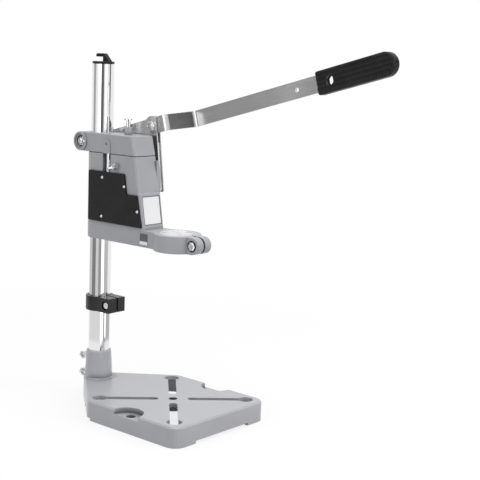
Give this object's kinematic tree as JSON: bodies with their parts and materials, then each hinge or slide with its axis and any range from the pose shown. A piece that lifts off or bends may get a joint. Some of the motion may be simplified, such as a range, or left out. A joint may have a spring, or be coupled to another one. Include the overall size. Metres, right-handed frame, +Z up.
{
  "type": "drill stand",
  "caption": "Bench drill stand: cast base with slotted table, round column, height collar, and a sprung drill carriage with clamp ring, pulled down by a cranked hand lever.",
  "frame": {"origin": "on the floor plane, on the column's axis", "axes": "+Z up along the column; -Y is the front, where the ring and the grip are; +X is the lever's side"},
  "size_m": [0.1456, 0.384, 0.4102],
  "materials": {
    "cast_paint": "cast, satin grey coat",
    "chrome": "polished",
    "brushed_steel": "brushed",
    "zinc_steel": "bright zinc plate",
    "spring_steel": "drawn wire",
    "black_plastic": "satin black",
    "grip_plastic": "matte black",
    "label": "blank white film",
    "tag": "plain dark film"
  },
  "bodies": {
    "stand": {"base_casting": "cast_paint", "column_tube": "chrome", "column_cap": "black_plastic", "socket_bolt_lower": "zinc_steel", "socket_bolt_upper": "zinc_steel"},
    "collar": {"stop_collar": "black_plastic", "stop_collar_screw": "zinc_steel", "stop_collar_nut": "zinc_steel"},
    "head": {"upper_bracket": "cast_paint", "fulcrum_bolt": "zinc_steel", "fulcrum_nut": "zinc_steel", "fulcrum_spacer": "brushed_steel", "fulcrum_washer": "zinc_steel", "guide_rod": "chrome", "guide_rod_pin": "brushed_steel", "spring_pin_upper": "brushed_steel"},
    "carriage": {"carriage": "cast_paint", "return_spring": "spring_steel", "side_cover": "black_plastic", "cover_screw_1": "zinc_steel", "cover_screw_2": "zinc_steel", "cover_screw_3": "zinc_steel", "cover_screw_4": "zinc_steel", "front_label": "label", "arm_tag": "tag", "ring_clamp_bolt": "zinc_steel", "ring_clamp_nut": "zinc_steel", "spring_pin_lower": "brushed_steel", "link_stud": "zinc_steel", "link_spacer": "brushed_steel"},
    "lever": {"lever_bar": "brushed_steel", "handle_grip": "grip_plastic"},
    "link": {"link_channel": "brushed_steel", "link_pin": "zinc_steel", "link_pin_nut": "zinc_steel"},
    "depth_stop": {"depth_stop_rod": "chrome"},
    "wing_screw": {"wing_screw": "zinc_steel"}
  },
  "joints": [
    {"name": "collar_slide", "type": "slide", "parent": "stand", "child": "collar", "axis": [0, 0, 1], "range_m": [-0.0475, 0]},
    {"name": "head_slide", "type": "slide", "parent": "stand", "child": "head", "axis": [0, 0, 1], "range_m": [-0.013, 0.076]},
    {"name": "carriage_slide", "type": "slide", "parent": "head", "child": "carriage", "axis": [0, 0, 1], "range_m": [-0.055, 0], "stiffness_N_per_m": 300, "springref_m": 0.11, "deforming": ["return_spring"]},
    {"name": "lever_pivot", "type": "hinge", "parent": "head", "child": "lever", "pos_m": [0.0236, 0.0183, 0.2993], "axis": [1, 0, 0], "range_deg": [0, 41.2]},
    {"name": "link_pivot", "type": "hinge", "parent": "lever", "child": "link", "pos_m": [0.0236, -0.05867, 0.32036], "axis": [1, 0, 0], "range_deg": [-45.9, 0]},
    {"name": "depth_stop_slide", "type": "slide", "parent": "head", "child": "depth_stop", "axis": [0, 0, 1], "range_m": [-0.0075, 0.02]},
    {"name": "wing_screw_turn", "type": "hinge", "parent": "carriage", "child": "wing_screw", "pos_m": [-0.0165, -0.0424, 0.2753], "axis": [1, 0, 0], "continuous": true}
  ],
  "couplings": [
    {"joint": "lever_pivot", "follows": "carriage_slide", "rad_per_m": -13},
    {"joint": "link_pivot", "follows": "carriage_slide", "rad_per_m": 14.5}
  ]
}
